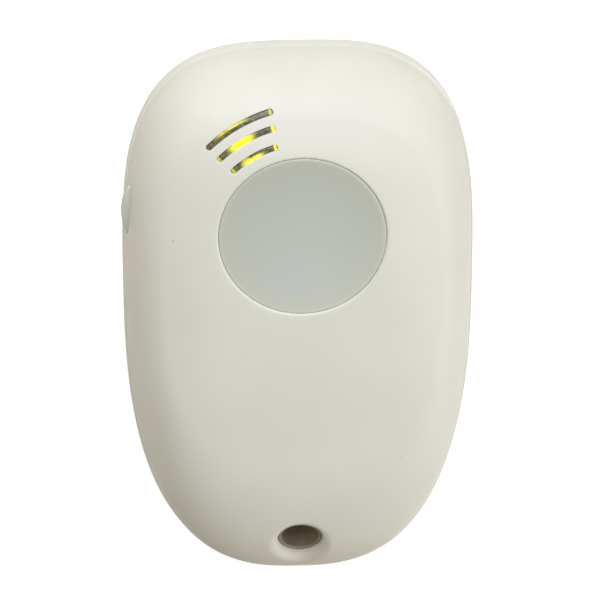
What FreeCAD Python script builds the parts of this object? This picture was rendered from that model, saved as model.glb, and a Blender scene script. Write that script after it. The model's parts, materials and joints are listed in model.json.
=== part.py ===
import FreeCAD
import Part
import math
import os

from FreeCAD import Vector

# Wireless panic button, a pendant in two moulded shells. Millimetres. The pendant lies on its flat back:
# +Z comes out of the front face, +Y points to the end with the lit arcs, +X is right as seen from the front.
# The origin is on the flat back, at mid-length.

# Overall size and outline. The outline is two half superellipses that meet at the widest line.
case_width = 40.0
case_length = 65.5
case_height = 15.0
widest_y = 5.0
upper_power = 3.2
lower_power = 2.67
outline_points = 36

# Shells
seam_z = 4.0
rim_ledge = 0.25
front_wall = 1.6
back_wall = 1.6
back_round = 2.6
back_steps = 5
side_fall = 3.6
top_fall = 3.4
bottom_fall = 17.0
crown_rise = 3.5
crown_flat_margin = 1.2
turn_steps = 9
crown_steps = 5
seam_chamfer = 0.22

# Tongue on the rear cover, the rebate it enters, and the seal on top of it
tongue_inset = 1.05
tongue_thick = 0.8
tongue_height = 1.2
tongue_gap = 0.1
seal_height = 0.5
seal_gap = 0.05

# Main button
button_end_gap = 18.65
button_diameter = 18.5
button_gap = 0.1
button_wall = 1.4
button_dish = 1.0
button_sink = 0.2
button_skirt = 1.3
button_travel = 0.6
button_edge_round = 0.25
opening_edge_round = 0.45
collar_thick = 1.0
collar_depth = 2.1
flange_reach = 1.1
flange_thick = 0.8
flange_gap = 0.1
pusher_radius = 2.2

# Lit arcs, concentric with the main button
arc_first_reach = 1.75
arc_pitch = 2.0
arc_count = 3
arc_width = 0.7
arc_mid_angle = 120.0
arc_half_angle = 16.0
guide_rib_gap = 0.1
guide_recess = 1.05
guide_margin = 0.5
guide_depth = 2.4
guide_drop = 0.25
guide_end_trim = 3.0

# Side key
key_length = 6.6
key_height = 2.2
key_z = 7.4
key_proud = 0.25
key_bulge = 0.9
key_gap = 0.12
key_lip = 0.4
key_lip_thick = 0.7
key_travel = 0.4
key_edge_round = 0.25
key_pad_margin = 0.5
key_pad_depth = 3.6
key_notch_gap = 0.3

# Lanyard hole
hole_end_gap = 6.35
hole_radius = 2.6
sleeve_wall = 0.9
sleeve_gap = 0.08
sleeve_recess = 0.3
hole_flare = 1.1
hole_back_round = 0.5
liner_wall = 0.4
liner_gap = 0.02
liner_low_turn = 1.6
liner_high_turn = 0.7
sleeve_shoulder = 0.8
sleeve_boss_wall = 1.2
sleeve_boss_z = 3.6
sleeve_seal_wide = 0.8
sleeve_seal_thick = 0.7

# Screws that join the covers, driven from the back
upper_screw_in = (7.2, 11.75)
lower_screw_in = (8.0, 17.75)
boss_radius = 2.2
pillar_radius = 2.6
screw_radius = 1.0
screw_gap = 0.05
screw_length = 6.4
head_radius = 1.9
head_height = 1.0
head_recess = 1.3
head_gap = 0.2
pilot_gap = 0.01
pilot_extra = 0.5
head_bevel = 0.3
drive_reach = 1.1
drive_width = 0.45
drive_depth = 0.55

# Circuit board, its posts and screws
board_z = 5.6
board_thick = 1.0
board_inset = 3.4
board_end_gap = 13.75
boss_notch_gap = 0.4
post_x = 8.0
post_end_gap = 6.25
post_board_margin = 1.5
post_radius = 1.4
small_screw_radius = 0.7
small_screw_length = 3.0
small_head_radius = 1.3
small_head_height = 0.7
small_hole_gap = 0.1
small_pilot_extra = 0.3

# Switches
switch_side = 6.0
switch_height = 2.5
switch_plate = 0.15
switch_floor = 0.3
plunger_radius = 1.75
plunger_gap = 0.1
side_switch_width = 6.0
side_switch_height = 3.5
side_switch_depth = 3.4
side_plunger_wide = 2.6
side_plunger_tall = 1.2
side_plunger_proud = 0.8
side_plunger_inside = 1.4
side_lip_gap = 0.1

# Return pad under the main button
pad_base_thick = 0.7
pad_base_reach = 0.5
pad_web_thick = 0.55
pad_head_thick = 0.8
pad_head_wide = 1.2
pad_side_step = 0.45
pad_top_gap = 0.05

# Coin cell, its clip and contact
cell_y = -5.5
cell_radius = 10.0
cell_thick = 3.2
cell_step = 1.1
cell_step_height = 0.5
cell_bevel = 0.25
contact_radius = 4.0
contact_thick = 0.2
clip_width = 6.0
clip_thick = 0.3
clip_gap = 0.05
clip_foot = 1.6

# Small electronic pieces on the board
led_reach = 2.3
led_angle = 119.0
led_size = (3.0, 1.5, 1.1)
chip_place = (9.0, 2.0)
chip_side = 5.0
chip_height = 0.9
can_place = (9.0, -5.5)
can_size = (3.2, 2.5, 0.8)
can_round = 0.4
capacitor_size = (1.6, 0.8, 0.8)
resistor_size = (1.6, 0.8, 0.45)
capacitor_places = ((5.0, -2.0), (5.0, -4.0), (5.0, -6.0), (12.2, -8.0), (12.2, -9.6), (-6.0, -2.0), (-6.0, -4.0))
resistor_places = ((-10.0, -2.0), (-10.0, -4.0), (-10.0, -6.0), (-10.0, -8.0), (1.0, -9.0), (1.0, -11.0))
antenna_wire_radius = 0.4
antenna_height = 2.6
antenna_inset = 5.8
antenna_ends = (3.0, -10.5)
antenna_feed_y = 0.5
antenna_bend = 1.2

# Values that follow from the sizes above
half_width = case_width / 2.0
top_y = case_length / 2.0
bottom_y = -case_length / 2.0
button_y = top_y - button_end_gap
hole_y = bottom_y + hole_end_gap
board_end_y = bottom_y + board_end_gap
key_pad_face = half_width - key_pad_depth
antenna_x = half_width - antenna_inset
screw_places = [(side * (half_width - x), y) for x, y in ((upper_screw_in[0], top_y - upper_screw_in[1]),
                                                          (lower_screw_in[0], bottom_y + lower_screw_in[1]))
                for side in (1, -1)]
post_places = ((post_x, top_y - post_end_gap), (-post_x, top_y - post_end_gap), (0.0, board_end_y + post_board_margin))
opening_radius = button_diameter / 2.0 + button_gap
inner_inset = rim_ledge + front_wall
ceiling_z = case_height - front_wall
board_top = board_z + board_thick
collar_bottom = ceiling_z - collar_depth
flange_top = collar_bottom - flange_gap
flange_bottom = flange_top - flange_thick
flange_radius = button_diameter / 2.0 + flange_reach
switch_top = board_top + switch_height + switch_plate
plunger_top = switch_top + button_travel
key_face_x = half_width + key_proud
sleeve_radius = hole_radius + sleeve_wall
shoulder_radius = sleeve_radius + sleeve_shoulder
sleeve_boss_radius = sleeve_radius + sleeve_gap + sleeve_boss_wall
rear_inset = tongue_inset + tongue_thick
lip_face_x = key_pad_face - side_lip_gap
lip_back_x = lip_face_x - key_lip_thick
side_switch_x = lip_back_x - side_plunger_proud
cell_top = board_z - contact_thick
cell_bottom = cell_top - cell_thick
button_radius = button_diameter / 2.0
arc_radii = [button_radius + arc_first_reach + k * arc_pitch for k in range(arc_count)]
led_place = ((button_radius + led_reach) * math.cos(math.radians(led_angle)),
             button_y + (button_radius + led_reach) * math.sin(math.radians(led_angle)))
button_top = case_height - button_sink
crown_flat_radius = opening_radius - crown_flat_margin


def superellipse_point(angle, across, along, power):
    """Point on a superellipse in the direction of the angle, from its two half-axes and its power."""
    c, s = math.cos(angle), math.sin(angle)
    reach = (abs(c) ** power + abs(s) ** power) ** (-1.0 / power)
    return across * c * reach, along * s * reach


def closed_outline(across, y_top, y_low, y_wide, p_top, p_low, z):
    """Periodic curve through points at even distances along the two joined half superellipses."""
    steps = 720
    dense = []
    for k in range(steps):
        angle = math.pi / 2.0 + 2.0 * math.pi * k / steps
        upper = math.sin(angle) >= 0.0
        along = y_top - y_wide if upper else y_wide - y_low
        x, y = superellipse_point(angle, across, along, p_top if upper else p_low)
        dense.append((x, y_wide + y))
    dense.append(dense[0])
    run = [0.0]
    for a, b in zip(dense[:-1], dense[1:]):
        run.append(run[-1] + math.dist(a, b))
    points = []
    k = 0
    for i in range(outline_points):
        want = run[-1] * i / outline_points
        while run[k + 1] < want:
            k += 1
        f = (want - run[k]) / (run[k + 1] - run[k])
        x = dense[k][0] + f * (dense[k + 1][0] - dense[k][0])
        y = dense[k][1] + f * (dense[k + 1][1] - dense[k][1])
        points.append(Vector(x, y, z))
    curve = Part.BSplineCurve()
    curve.interpolate(Points=points, PeriodicFlag=True, Parameters=[float(i) for i in range(outline_points + 1)])
    return Part.Wire(curve.toShape())


def case_outline(inset, z):
    """The case's outline, moved inward by the inset."""
    return closed_outline(half_width - inset, top_y - inset, bottom_y + inset, widest_y, upper_power, lower_power, z)


def case_prism(inset, z_low, z_high):
    """Upright solid with the case's outline."""
    return Part.Face(case_outline(inset, z_low)).extrude(Vector(0, 0, z_high - z_low))


def dome(inset, z_low, z_high, falls):
    """Solid under the front's crowned surface. Its sections shrink along quarter ellipses, with their own
    reach at the sides, the top end and the lower end, and then run to a circle under the button."""
    across, y_top, y_low = half_width - inset, top_y - inset, bottom_y + inset
    side, top, low = falls
    side_way = across - crown_flat_radius
    top_way = y_top - (button_y + crown_flat_radius)
    low_way = (button_y - crown_flat_radius) - y_low
    turn_rise = z_high - crown_rise - z_low
    wires = []
    stages = [(math.pi / 2.0 * k / turn_steps, 0.0) for k in range(turn_steps + 1)]
    stages += [(math.pi / 2.0, k / crown_steps) for k in range(1, crown_steps + 1)]
    for angle, w in stages:
        bent = 1.0 - math.cos(angle)
        in_side = side * bent + (side_way - side) * w
        in_top = top * bent + (top_way - top) * w
        in_low = low * bent + (low_way - low) * w
        p = in_side / side_way
        z = z_low + turn_rise * math.sin(angle) + crown_rise * (1.0 - (1.0 - p) ** 2)
        blend = p * p
        wires.append(closed_outline(across - in_side, y_top - in_top, y_low + in_low,
                                    widest_y + (button_y - widest_y) * blend,
                                    upper_power + (2.0 - upper_power) * blend,
                                    lower_power + (2.0 - lower_power) * blend, z))
    return Part.makeLoft(wires, True, False)


def cylinder(radius, x, y, z_low, z_high):
    """Upright cylinder between two heights."""
    return Part.makeCylinder(radius, z_high - z_low, Vector(x, y, z_low))


def box(x_low, x_high, y_low, y_high, z_low, z_high):
    """Box between two corners."""
    return Part.makeBox(x_high - x_low, y_high - y_low, z_high - z_low, Vector(x_low, y_low, z_low))


def chip(place, size, z):
    """Small block standing on the board, centred on a place."""
    x, y = place
    return box(x - size[0] / 2, x + size[0] / 2, y - size[1] / 2, y + size[1] / 2, z, z + size[2])


def turned(profile, x, y):
    """Solid of revolution about an upright axis, from (radius, height) points."""
    points = [Vector(x + r, y, z) for r, z in profile]
    face = Part.Face(Part.makePolygon(points + points[:1]))
    return face.revolve(Vector(x, y, 0), Vector(0, 0, 1), 360)


def arc_band(radius, width, half_angle, z_low, z_high):
    """Upright band along an arc about the button's centre, with rounded ends."""
    half = width / 2.0
    low = math.radians(arc_mid_angle - half_angle)
    high = math.radians(arc_mid_angle + half_angle)

    def at(r, angle):
        return Vector(r * math.cos(angle), button_y + r * math.sin(angle), z_low)

    def end_cap(angle, sign):
        middle = at(radius, angle) + Vector(-math.sin(angle), math.cos(angle), 0) * half * sign
        return middle

    mid = (low + high) / 2.0
    outer = Part.Arc(at(radius + half, low), at(radius + half, mid), at(radius + half, high)).toShape()
    far = Part.Arc(at(radius + half, high), end_cap(high, 1), at(radius - half, high)).toShape()
    inner = Part.Arc(at(radius - half, high), at(radius - half, mid), at(radius - half, low)).toShape()
    near = Part.Arc(at(radius - half, low), end_cap(low, -1), at(radius + half, low)).toShape()
    return Part.Face(Part.Wire([outer, far, inner, near])).extrude(Vector(0, 0, z_high - z_low))


def key_prism(grow, x_low, x_high):
    """Long rounded bar along X with the side key's outline, grown by a margin."""
    half_y = key_length / 2.0 + grow
    half_z = key_height / 2.0 + grow
    flat = half_y - half_z
    up, down = key_z + half_z, key_z - half_z

    def at(y, z):
        return Vector(x_low, button_y + y, z)

    edges = [Part.LineSegment(at(-flat, up), at(flat, up)).toShape(),
             Part.Arc(at(flat, up), at(half_y, key_z), at(flat, down)).toShape(),
             Part.LineSegment(at(flat, down), at(-flat, down)).toShape(),
             Part.Arc(at(-flat, down), at(-half_y, key_z), at(-flat, up)).toShape()]
    return Part.Face(Part.Wire(edges)).extrude(Vector(x_high - x_low, 0, 0))


def edges_near(shape, test):
    """Edges of a shape whose middle passes a test."""
    found = []
    for edge in shape.Edges:
        middle = edge.valueAt((edge.FirstParameter + edge.LastParameter) / 2.0)
        if test(edge, middle):
            found.append(edge)
    return found


def key_dome():
    """Upright cylinder whose curved side is the side key's bulging face."""
    half = key_length / 2.0
    radius = (half * half + key_bulge * key_bulge) / (2.0 * key_bulge)
    return cylinder(radius, radius - key_face_x, button_y, key_z - key_height, key_z + key_height)


def front_cover():
    """Deep crowned shell with every opening of the front and the left wall."""
    falls = (side_fall, top_fall, bottom_fall)
    outer = dome(rim_ledge, seam_z, case_height, falls)
    outer = outer.makeChamfer(seam_chamfer, edges_near(outer, lambda e, m: abs(m.z - seam_z) < 0.01))
    inner = dome(inner_inset, seam_z, ceiling_z, [f - front_wall for f in falls])
    rebate_top = seam_z + tongue_height + seal_height + seal_gap
    shell = outer.cut([inner, case_prism(tongue_inset - tongue_gap, seam_z, rebate_top)])
    added = [cylinder(opening_radius + collar_thick, 0, button_y, collar_bottom, case_height),
             cylinder(shoulder_radius, 0, hole_y, sleeve_boss_z + seal_gap, case_height),
             key_prism(key_pad_margin, -half_width, -key_pad_face)]
    added += [cylinder(boss_radius, x, y, seam_z, case_height) for x, y in screw_places]
    below = case_prism(inner_inset, 0, seam_z)
    within = outer.fuse(below)
    sleeve = cylinder(sleeve_radius, 0, hole_y, sleeve_recess, case_height)
    shell = shell.fuse([piece.common(within) for piece in added + [sleeve]])
    cuts = [cylinder(opening_radius, 0, button_y, collar_bottom - 1, case_height + 1),
            cylinder(hole_radius, 0, hole_y, -1, case_height + 1),
            key_prism(key_gap, -half_width - 1, -key_pad_face + 1)]
    cuts += [arc_band(r, arc_width, arc_half_angle, ceiling_z - guide_depth, case_height + 1) for r in arc_radii]
    pilot_top = head_recess + screw_length + pilot_extra
    cuts += [cylinder(screw_radius + pilot_gap, x, y, seam_z - 1, pilot_top) for x, y in screw_places]
    shell = shell.cut(cuts).Solids[0]
    shell = shell.makeFillet(hole_flare, rim_edges(shell, hole_radius, hole_y, seam_z, case_height))
    shell = shell.makeFillet(hole_back_round, rim_edges(shell, hole_radius, hole_y, -1, seam_z))
    return shell.makeFillet(opening_edge_round, rim_edges(shell, opening_radius, button_y, ceiling_z, case_height + 1))


def rim_edges(shape, radius, y, z_low, z_high):
    """Edges that run round a hole on the centre line, between two heights."""
    def on_rim(edge, middle):
        ends = [middle, edge.valueAt(edge.FirstParameter), edge.valueAt(edge.LastParameter)]
        around = all(abs(math.hypot(p.x, p.y - y) - radius) < 0.01 for p in ends)
        level = all(z_low < p.z < z_high for p in ends)
        upright = edge.BoundBox.XLength < 0.01 and edge.BoundBox.YLength < 0.01
        return around and level and not upright
    return edges_near(shape, on_rim)


def rear_cover():
    """Shallow tray with a flat back, a tongue, screw pillars, board posts and the sleeve's boss."""
    turn = [math.radians(90.0 * k / back_steps) for k in range(back_steps + 1)]
    rounded = [case_outline(back_round * (1.0 - math.sin(a)), back_round * (1.0 - math.cos(a))) for a in turn]
    body = Part.makeLoft(rounded, True, False).fuse(case_prism(0, back_round, seam_z))
    pocket = case_prism(rear_inset, back_wall, seam_z)
    tongue = case_prism(tongue_inset, seam_z, seam_z + tongue_height)
    tongue = tongue.cut(case_prism(rear_inset, seam_z, seam_z + tongue_height))
    added = [tongue, cylinder(sleeve_boss_radius, 0, hole_y, back_wall / 2, sleeve_boss_z)]
    added += [cylinder(pillar_radius, x, y, back_wall / 2, seam_z) for x, y in screw_places]
    added += [cylinder(post_radius, x, y, back_wall / 2, board_z) for x, y in post_places]
    tray = body.cut(pocket).fuse(added)
    cuts = [cylinder(sleeve_radius + sleeve_gap, 0, hole_y, -1, sleeve_boss_z + 1),
            cylinder(sleeve_radius + sleeve_seal_wide, 0, hole_y, sleeve_boss_z - sleeve_seal_thick, sleeve_boss_z + 1)]
    for x, y in screw_places:
        cuts.append(cylinder(screw_radius + screw_gap, x, y, -1, seam_z + 1))
        cuts.append(cylinder(head_radius + head_gap, x, y, -1, head_recess))
    pilot_bottom = board_top - small_screw_length - small_pilot_extra
    cuts += [cylinder(small_screw_radius + pilot_gap, x, y, pilot_bottom, board_z + 1) for x, y in post_places]
    return tray.cut(cuts)


def case_seal():
    """Rubber ring that lies on the tongue."""
    low = seam_z + tongue_height
    ring = case_prism(tongue_inset + seal_gap, low, low + seal_height)
    return ring.cut(case_prism(rear_inset, low, low + seal_height))


def sleeve_seal():
    """Rubber ring round the lanyard sleeve, in its seat on the rear cover."""
    low = sleeve_boss_z - sleeve_seal_thick
    ring = cylinder(sleeve_radius + sleeve_seal_wide - seal_gap, 0, hole_y, low, sleeve_boss_z)
    return ring.cut(cylinder(sleeve_radius, 0, hole_y, low, sleeve_boss_z))


def front_height(y):
    """Height of the front surface on the centre line, on the slope at the lower end."""
    across = half_width - rim_ledge
    bent = (y - bottom_y - rim_ledge) / bottom_fall
    turned_by = math.acos(1.0 - bent)
    p = side_fall * bent / (across - crown_flat_radius)
    turn_rise = case_height - crown_rise - seam_z
    return seam_z + turn_rise * math.sin(turned_by) + crown_rise * (1.0 - (1.0 - p) ** 2)


def hole_liner():
    """Dark rubber tube in the lanyard hole. Its top slants with the front surface, just under the flare."""
    near, far = hole_y - hole_radius, hole_y + hole_radius
    low = front_height(near) - liner_low_turn * hole_flare
    high = front_height(far) - liner_high_turn * hole_flare
    slant = [Vector(-hole_radius, near, sleeve_recess), Vector(-hole_radius, far, sleeve_recess),
             Vector(-hole_radius, far, high), Vector(-hole_radius, near, low)]
    room = Part.Face(Part.makePolygon(slant + slant[:1])).extrude(Vector(2 * hole_radius, 0, 0))
    tube = cylinder(hole_radius - liner_gap, 0, hole_y, sleeve_recess, case_height)
    return tube.cut(cylinder(hole_radius - liner_wall, 0, hole_y, sleeve_recess, case_height)).common(room)


def main_button():
    """Round dished cap with a skirt, a retaining flange below the collar and a central pusher."""
    def at(r, z):
        return Vector(r, button_y, z)

    low_top = button_top - button_dish
    under = low_top - button_wall
    part_way = 0.6
    dish = Part.Arc(at(0, low_top), at(part_way * button_radius, low_top + button_dish * part_way ** 2),
                    at(button_radius, button_top)).toShape()
    corners = [at(button_radius, button_top), at(button_radius, flange_top), at(flange_radius, flange_top),
               at(flange_radius, flange_bottom), at(button_radius - button_skirt, flange_bottom),
               at(button_radius - button_skirt, under), at(pusher_radius, under), at(pusher_radius, plunger_top),
               at(0, plunger_top), at(0, low_top)]
    edges = [dish] + [Part.LineSegment(a, b).toShape() for a, b in zip(corners[:-1], corners[1:])]
    cap = Part.Face(Part.Wire(edges)).revolve(Vector(0, button_y, 0), Vector(0, 0, 1), 360)
    return cap.makeFillet(button_edge_round, rim_edges(cap, button_radius, button_y, button_top - 0.01, case_height))


def button_pad():
    """Silicone ring that carries the button's flange on a thin sloping web."""
    high = flange_bottom - pad_top_gap
    base = board_top + pad_base_thick
    head = high - pad_head_thick
    head_out = flange_radius - pad_side_step
    head_in = head_out - pad_head_wide
    web_out = head_out - pad_head_wide / 2
    web_in = web_out - pad_web_thick
    foot_out = flange_radius - pad_base_reach / 2
    return turned([(web_in - pad_base_reach, board_top), (foot_out, board_top), (foot_out, base), (web_out, base),
                   (head_out, head), (head_out, high), (head_in, high), (head_in, head),
                   (head_out - pad_web_thick, head), (web_in, base), (web_in - pad_base_reach, base)], 0, button_y)


def side_button():
    """Long rounded key with a bulging face outside the wall and a retaining lip inside."""
    key = key_prism(0, -key_face_x - 1, -lip_face_x).common(key_dome())
    face_edges = edges_near(key, lambda e, m: m.x < -half_width + key_bulge and e.BoundBox.YLength > 1e-3
                            and m.x < -lip_face_x - 1)
    key = key.makeFillet(key_edge_round, face_edges)
    return key.fuse(key_prism(key_lip, -lip_face_x, -lip_back_x))


def light_guide():
    """Clear block under the front wall with three ribs that stand in the slots."""
    width = arc_radii[-1] - arc_radii[0] + 2 * guide_margin
    middle = (arc_radii[-1] + arc_radii[0]) / 2.0
    falls = [f - front_wall for f in (side_fall, top_fall, bottom_fall)]
    room = dome(inner_inset + guide_drop, seam_z, ceiling_z - guide_drop, falls)
    block = arc_band(middle, width, arc_half_angle - guide_end_trim, ceiling_z - guide_depth, ceiling_z).common(room)
    rib_width = arc_width - 2 * guide_rib_gap
    rib_top = case_height - guide_recess
    under_front = dome(rim_ledge, seam_z, rib_top, (side_fall, top_fall, bottom_fall))
    ribs = [arc_band(r, rib_width, arc_half_angle, ceiling_z - guide_depth, rib_top).common(under_front)
            for r in arc_radii]
    return block.fuse(ribs)


def circuit_board():
    """Board with the case's outline, a straight lower end and notches at the screw bosses and the side key."""
    board = case_prism(board_inset, board_z, board_top)
    cuts = [box(-case_width, case_width, -case_length, board_end_y, board_z - 1, board_top + 1)]
    cuts += [cylinder(boss_radius + boss_notch_gap, x, y, board_z - 1, board_top + 1) for x, y in screw_places]
    cuts += [cylinder(small_screw_radius + small_hole_gap, x, y, board_z - 1, board_top + 1) for x, y in post_places]
    notch = key_length / 2 + key_lip + key_notch_gap
    cuts.append(box(-case_width, -side_switch_x - plunger_gap, button_y - notch, button_y + notch,
                    board_z - 1, board_top + 1))
    return board.cut(cuts)


def screw(x, y, seat, way, radius, length, big_radius, height):
    """Round-headed screw with a cross recess; its shank runs from the seat, up for way 1 and down for -1."""
    head = Part.makeCylinder(big_radius, height, Vector(x, y, seat), Vector(0, 0, -way))
    outer_z = seat - way * height
    bevel = head_bevel * height / head_height
    head = head.makeChamfer(bevel, edges_near(head, lambda e, m: abs(m.z - outer_z) < 0.01))
    reach = drive_reach * big_radius / head_radius
    deep = drive_depth * height / head_height
    low, high = sorted((outer_z - way, outer_z + way * deep))
    slots = [box(x - a, x + a, y - b, y + b, low, high)
             for a, b in ((reach, drive_width / 2), (drive_width / 2, reach))]
    shank = Part.makeCylinder(radius, length, Vector(x, y, seat), Vector(0, 0, way))
    return head.cut(slots).fuse(shank)


def case_screws():
    """Four screws driven from the back into the front cover's bosses."""
    return Part.makeCompound([screw(x, y, head_recess, 1, screw_radius, screw_length, head_radius, head_height)
                              for x, y in screw_places])


def board_screws():
    """Three small screws that hold the board on its posts."""
    return Part.makeCompound([screw(x, y, board_top, -1, small_screw_radius, small_screw_length,
                                    small_head_radius, small_head_height) for x, y in post_places])


def main_switch_base():
    """Square body of the push switch with the well for its plunger."""
    base = chip((0, button_y), (switch_side, switch_side, switch_height), board_top)
    return base.cut(cylinder(plunger_radius + plunger_gap, 0, button_y, board_top + switch_floor, case_height))


def main_switch_cover():
    """Thin sheet-metal plate on the push switch."""
    plate = chip((0, button_y), (switch_side, switch_side, switch_plate), board_top + switch_height)
    return plate.cut(cylinder(plunger_radius + 2 * plunger_gap, 0, button_y, board_top, case_height))


def main_switch_plunger():
    """Round plunger between the push switch and the button's pusher."""
    return cylinder(plunger_radius, 0, button_y, board_top + switch_floor + button_travel + plunger_gap, plunger_top)


def side_plunger_bar(grow, x_low, x_high):
    """Bar along X with the side plunger's section, grown by a margin."""
    half_y = side_plunger_wide / 2 + grow
    half_z = side_plunger_tall / 2 + grow
    return box(x_low, x_high, button_y - half_y, button_y + half_y, key_z - half_z, key_z + half_z)


def side_switch_base():
    """Body of the side-acting switch with the well for its plunger."""
    half = side_switch_width / 2
    well = side_plunger_inside + key_travel + plunger_gap
    body = box(-side_switch_x, -side_switch_x + side_switch_depth, button_y - half, button_y + half,
               board_top, board_top + side_switch_height)
    return body.cut(side_plunger_bar(plunger_gap, -side_switch_x - 1, -side_switch_x + well))


def side_switch_plunger():
    """Bar that the side key pushes in."""
    return side_plunger_bar(0, -lip_back_x, -side_switch_x + side_plunger_inside)


def coin_cell():
    """Round cell with its smaller negative cap towards the board."""
    step_z = cell_top - cell_step_height
    inside = cell_radius - cell_bevel
    return turned([(0, cell_bottom), (inside, cell_bottom), (cell_radius, cell_bottom + cell_bevel),
                   (cell_radius, step_z - cell_bevel), (inside, step_z), (cell_radius - cell_step, step_z),
                   (cell_radius - cell_step, cell_top), (0, cell_top)], 0, cell_y)


def cell_clip():
    """Sheet-metal strap under the cell with two legs and feet on the board."""
    leg = cell_radius + 2 * clip_gap
    low = cell_bottom - clip_gap - clip_thick
    far = leg + clip_thick
    foot = far + clip_foot
    half = [(0, low), (far, low), (far, board_z - clip_thick), (foot, board_z - clip_thick), (foot, board_z),
            (leg, board_z), (leg, low + clip_thick), (0, low + clip_thick)]
    outline = half + [(-x, z) for x, z in reversed(half[1:-1])]
    points = [Vector(x, cell_y - clip_width / 2, z) for x, z in outline]
    return Part.Face(Part.makePolygon(points + points[:1])).extrude(Vector(0, clip_width, 0))


def cell_contact():
    """Round sprung contact between the board and the cell's cap."""
    return cylinder(contact_radius, 0, cell_y, cell_top, board_z)


def resonator_can():
    """Small metal can with rounded upright edges."""
    can = chip(can_place, can_size, board_top)
    return can.makeFillet(can_round, edges_near(can, lambda e, m: e.BoundBox.ZLength > can_size[2] / 2))


def antenna():
    """Bent wire on two legs along the right side of the board."""
    high = board_top + antenna_height
    first, last = antenna_ends
    turn_y, turn_z = first - antenna_bend, high - antenna_bend
    ring = Part.Face(Part.Wire(Part.makeCircle(antenna_wire_radius, Vector(antenna_x, first, turn_z))))
    bend = ring.revolve(Vector(antenna_x, turn_y, turn_z), Vector(1, 0, 0), 90)
    run = Part.makeCylinder(antenna_wire_radius, turn_y - last, Vector(antenna_x, last, high), Vector(0, 1, 0))
    legs = [cylinder(antenna_wire_radius, antenna_x, first, board_top, turn_z),
            cylinder(antenna_wire_radius, antenna_x, antenna_feed_y, board_top, high)]
    return bend.fuse([run] + legs)


def chip_group(places, size):
    """Several equal small chips on the board."""
    return Part.makeCompound([chip(place, size, board_top) for place in places])


pieces = {
    "front_cover": front_cover(),
    "rear_cover": rear_cover(),
    "case_seal": case_seal(),
    "sleeve_seal": sleeve_seal(),
    "hole_liner": hole_liner(),
    "case_screws": case_screws(),
    "main_button": main_button(),
    "button_pad": button_pad(),
    "side_button": side_button(),
    "light_guide": light_guide(),
    "circuit_board": circuit_board(),
    "board_screws": board_screws(),
    "main_switch_base": main_switch_base(),
    "main_switch_cover": main_switch_cover(),
    "main_switch_plunger": main_switch_plunger(),
    "side_switch_base": side_switch_base(),
    "side_switch_plunger": side_switch_plunger(),
    "indicator_led": chip(led_place, led_size, board_top),
    "radio_chip": chip(chip_place, (chip_side, chip_side, chip_height), board_top),
    "resonator_can": resonator_can(),
    "antenna": antenna(),
    "chip_capacitors": chip_group(capacitor_places, capacitor_size),
    "chip_resistors": chip_group(resistor_places, resistor_size),
    "coin_cell": coin_cell(),
    "cell_clip": cell_clip(),
    "cell_contact": cell_contact(),
}
os.makedirs("parts", exist_ok=True)
for name, shape in pieces.items():
    shape.exportStep("parts/" + name + ".step")
    print(name, len(shape.Solids), round(shape.Volume, 2), shape.isValid())
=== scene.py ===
"""Dresses a wireless panic button, a pendant of two moulded shells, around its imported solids.

Lengths are metres in the part's own frame: the flat back lies on z = 0, +Y points to the end with the lit arcs
and +X is right as seen from the front.
"""

import json
import math

import bmesh
import bpy
import numpy as np
from bpy.props import FloatProperty, FloatVectorProperty, IntProperty, PointerProperty
from mathutils import Matrix, Vector


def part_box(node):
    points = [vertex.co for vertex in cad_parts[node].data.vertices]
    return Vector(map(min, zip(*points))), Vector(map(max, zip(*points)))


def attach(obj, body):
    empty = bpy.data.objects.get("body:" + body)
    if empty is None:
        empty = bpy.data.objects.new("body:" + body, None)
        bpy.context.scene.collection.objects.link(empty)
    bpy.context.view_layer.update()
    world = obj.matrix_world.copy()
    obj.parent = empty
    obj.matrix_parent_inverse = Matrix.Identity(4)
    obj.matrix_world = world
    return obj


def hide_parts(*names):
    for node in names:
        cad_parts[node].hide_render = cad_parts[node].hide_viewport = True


bl_info = {
    "name": "Panic button pendant",
    "version": (1, 0, 0),
    "blender": (4, 5, 0),
    "location": "View3D > Sidebar > Pendant",
    "description": "Builds the visible pieces of a wireless panic button pendant",
    "category": "Add Mesh",
}

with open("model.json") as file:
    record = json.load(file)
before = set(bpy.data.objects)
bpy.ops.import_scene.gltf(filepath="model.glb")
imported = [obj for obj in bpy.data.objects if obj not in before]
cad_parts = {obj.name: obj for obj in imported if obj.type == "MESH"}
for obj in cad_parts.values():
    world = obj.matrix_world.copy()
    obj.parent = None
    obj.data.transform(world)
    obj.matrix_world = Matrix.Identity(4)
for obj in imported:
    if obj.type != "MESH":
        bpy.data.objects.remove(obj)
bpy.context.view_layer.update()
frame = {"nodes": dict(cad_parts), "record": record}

mm = 0.001
CASE_LOW, CASE_HIGH = (Vector(corner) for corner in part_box("rear_cover"))
FRONT_TOP = round(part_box("front_cover")[1][2], 4)
BUTTON_LOW, BUTTON_HIGH = (Vector(corner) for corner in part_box("main_button"))
KEY_LOW, KEY_HIGH = (Vector(corner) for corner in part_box("side_button"))
GUIDE_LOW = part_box("light_guide")[0][2]
LINER_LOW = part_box("hole_liner")[0][2]
HOLE_MOUNT = next(m for m in frame["record"]["mounts"] if m["name"] == "lanyard_hole")


def metres(name, default, description):
    """A length property whose default is given in metres."""
    return FloatProperty(name=name, description=description, default=default, unit="LENGTH", precision=5)


def size(name, default, description):
    """A length property whose default is given in millimetres."""
    return metres(name, default * mm, description)


def colour(name, default, description):
    """A linear colour property."""
    return FloatVectorProperty(name=name, description=description, default=default, subtype="COLOR", size=3,
                               min=0, max=1)


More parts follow.
